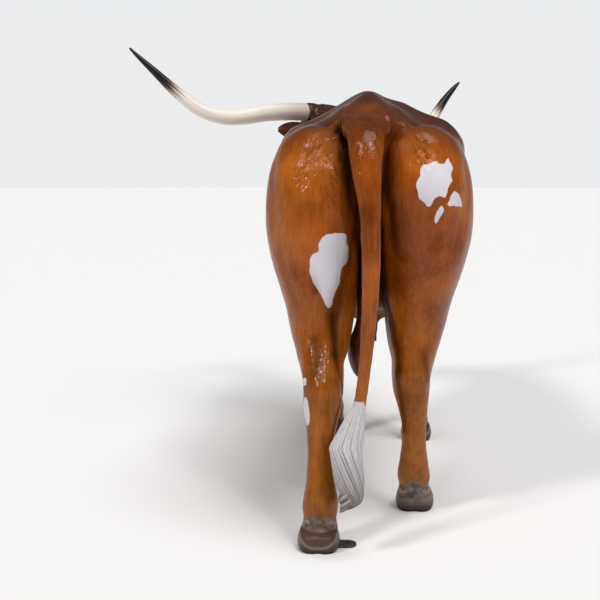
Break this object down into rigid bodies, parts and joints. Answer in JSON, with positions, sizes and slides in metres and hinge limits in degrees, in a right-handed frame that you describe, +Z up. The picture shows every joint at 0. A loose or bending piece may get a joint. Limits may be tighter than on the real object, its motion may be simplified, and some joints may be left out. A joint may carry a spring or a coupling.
{
  "type": "longhorn bull statue",
  "caption": "Life-size painted glass-fibre statue of a longhorn bull in mid stride, head turned left, with long upswept horns, a hanging tail and a steel anchor tab at one hind hoof.",
  "frame": {"origin": "on the ground, under the middle of the statue's bounding box", "axes": "+Z up, +Y towards the animal's head, +X towards the animal's right side"},
  "size_m": [1.5498, 2.7643, 1.7331],
  "materials": {
    "painted_coat": "varnished orange-brown paint on glass fibre, with white patches",
    "painted_horn": "varnished cream paint, dark brown to black at the tips",
    "painted_eye": "gloss dark brown paint",
    "painted_hoof": "satin grey-brown paint, darker at the ground",
    "painted_switch": "satin white paint with grey in the grooves",
    "painted_skin": "varnished dark red-brown paint",
    "anchor_steel": "dark grey painted steel plate"
  },
  "bodies": {
    "root": {"torso": "painted_coat", "neck": "painted_coat", "head": "painted_coat", "tail": "painted_coat", "leg_hind_left": "painted_coat", "leg_hind_right": "painted_coat", "leg_fore_left": "painted_coat", "leg_fore_right": "painted_coat", "ear_left": "painted_coat", "ear_right": "painted_coat", "horn_left": "painted_horn", "horn_right": "painted_horn", "eye_left": "painted_eye", "eye_right": "painted_eye", "hoof_hind_left": "painted_hoof", "hoof_hind_right": "painted_hoof", "hoof_fore_left": "painted_hoof", "hoof_fore_right": "painted_hoof", "tail_switch": "painted_switch", "scrotum": "painted_skin", "anchor_tab": "anchor_steel"}
  },
  "joints": []
}
